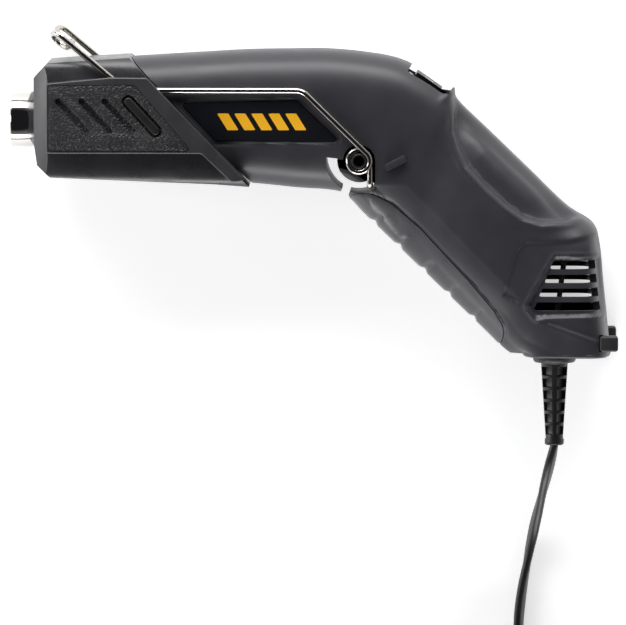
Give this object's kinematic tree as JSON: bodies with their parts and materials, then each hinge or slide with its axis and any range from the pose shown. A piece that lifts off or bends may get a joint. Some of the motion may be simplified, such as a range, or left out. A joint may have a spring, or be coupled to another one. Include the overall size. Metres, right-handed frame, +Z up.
{
  "type": "heat gun",
  "caption": "Corded craft heat gun with a bent handle, chrome nozzle, slotted front collar, rocker switch on its back and a swing-out wire stand, lying on its side.",
  "frame": {"origin": "middle of the tool's box on the surface it lies on, without the free cord", "axes": "+X from the nozzle to the rear of the tool, +Y from the base of the handle towards the back of the barrel, +Z up, out of the tool's left side"},
  "size_m": [0.2245, 0.2946, 0.044],
  "materials": {
    "housing_plastic": "satin moulded, very dark blue-grey",
    "collar_plastic": "fine grained panels in satin frames",
    "plate_plastic": "gloss",
    "grip_plastic": "smooth, slightly glossy",
    "foot_rubber": "matte",
    "nozzle_steel": "plated, rolled rim",
    "stand_wire": "plated wire",
    "bush_plastic": "satin",
    "switch_plastic": "smooth",
    "rocker_plastic": "smooth, white pad marks",
    "terminal_brass": "tinned",
    "screw_steel": "zinc plated",
    "motor_steel": "drawn can",
    "magnet_ferrite": "matte",
    "armature_copper": "enamelled winding",
    "fan_plastic": "natural nylon",
    "inner_plastic": "matte",
    "sleeve_rubber": "matte",
    "board_green": "solder masked laminate",
    "diode_black": "moulded",
    "heater_ceramic": "ceramic, matte",
    "mica": "pressed mica sheet",
    "coil_alloy": "heat tinted resistance wire",
    "lead_jacket": "sleeved leads",
    "relief_rubber": "matte moulded",
    "cord_jacket": "smooth flexible jacket",
    "plug_plastic": "moulded"
  },
  "bodies": {
    "tool": {"left_housing": "housing_plastic", "right_housing": "housing_plastic", "front_collar": "collar_plastic", "nozzle_tube": "nozzle_steel", "left_name_plate": "plate_plastic", "right_name_plate": "plate_plastic", "left_grip_pad": "grip_plastic", "right_grip_pad": "grip_plastic", "left_rear_foot": "foot_rubber", "right_rear_foot": "foot_rubber", "left_pivot_bush": "bush_plastic", "right_pivot_bush": "bush_plastic", "switch_body": "switch_plastic", "switch_terminals": "terminal_brass", "housing_screws": "screw_steel", "motor_can": "motor_steel", "motor_end_cap": "inner_plastic", "motor_sleeve": "sleeve_rubber", "motor_magnets": "magnet_ferrite", "fan_shroud": "inner_plastic", "rectifier_board": "board_green", "rectifier_diodes": "diode_black", "heater_holder": "heater_ceramic", "mica_cross": "mica", "mica_sleeve": "mica", "heating_coil": "coil_alloy", "thermal_cutout": "motor_steel", "supply_leads": "lead_jacket", "strain_relief": "relief_rubber", "cord_clamp": "inner_plastic", "clamp_screws": "screw_steel", "cord_tube": "cord_jacket", "cord_coil": "cord_jacket", "cord_tie": "cord_jacket", "plug_body": "plug_plastic", "plug_blades": "terminal_brass"},
    "rocker": {"switch_rocker": "rocker_plastic"},
    "stand": {"wire_stand": "stand_wire"},
    "rotor": {"motor_armature": "armature_copper", "motor_shaft": "motor_steel", "fan_wheel": "fan_plastic"}
  },
  "joints": [
    {"name": "stand_swing", "type": "hinge", "parent": "tool", "child": "stand", "pos_m": [0.01585, 0.02765, 0.022], "axis": [0, 0, -1], "range_deg": [0, 109]},
    {"name": "rocker_tilt", "type": "hinge", "parent": "tool", "child": "rocker", "pos_m": [0.03848, 0.05218, 0.022], "axis": [0.8192, -0.5736, 0], "range_deg": [-10, 10]},
    {"name": "fan_spin", "type": "hinge", "parent": "tool", "child": "rotor", "pos_m": [0.02055, 0.04095, 0.022], "axis": [0.7193, -0.6947, 0], "continuous": true}
  ]
}
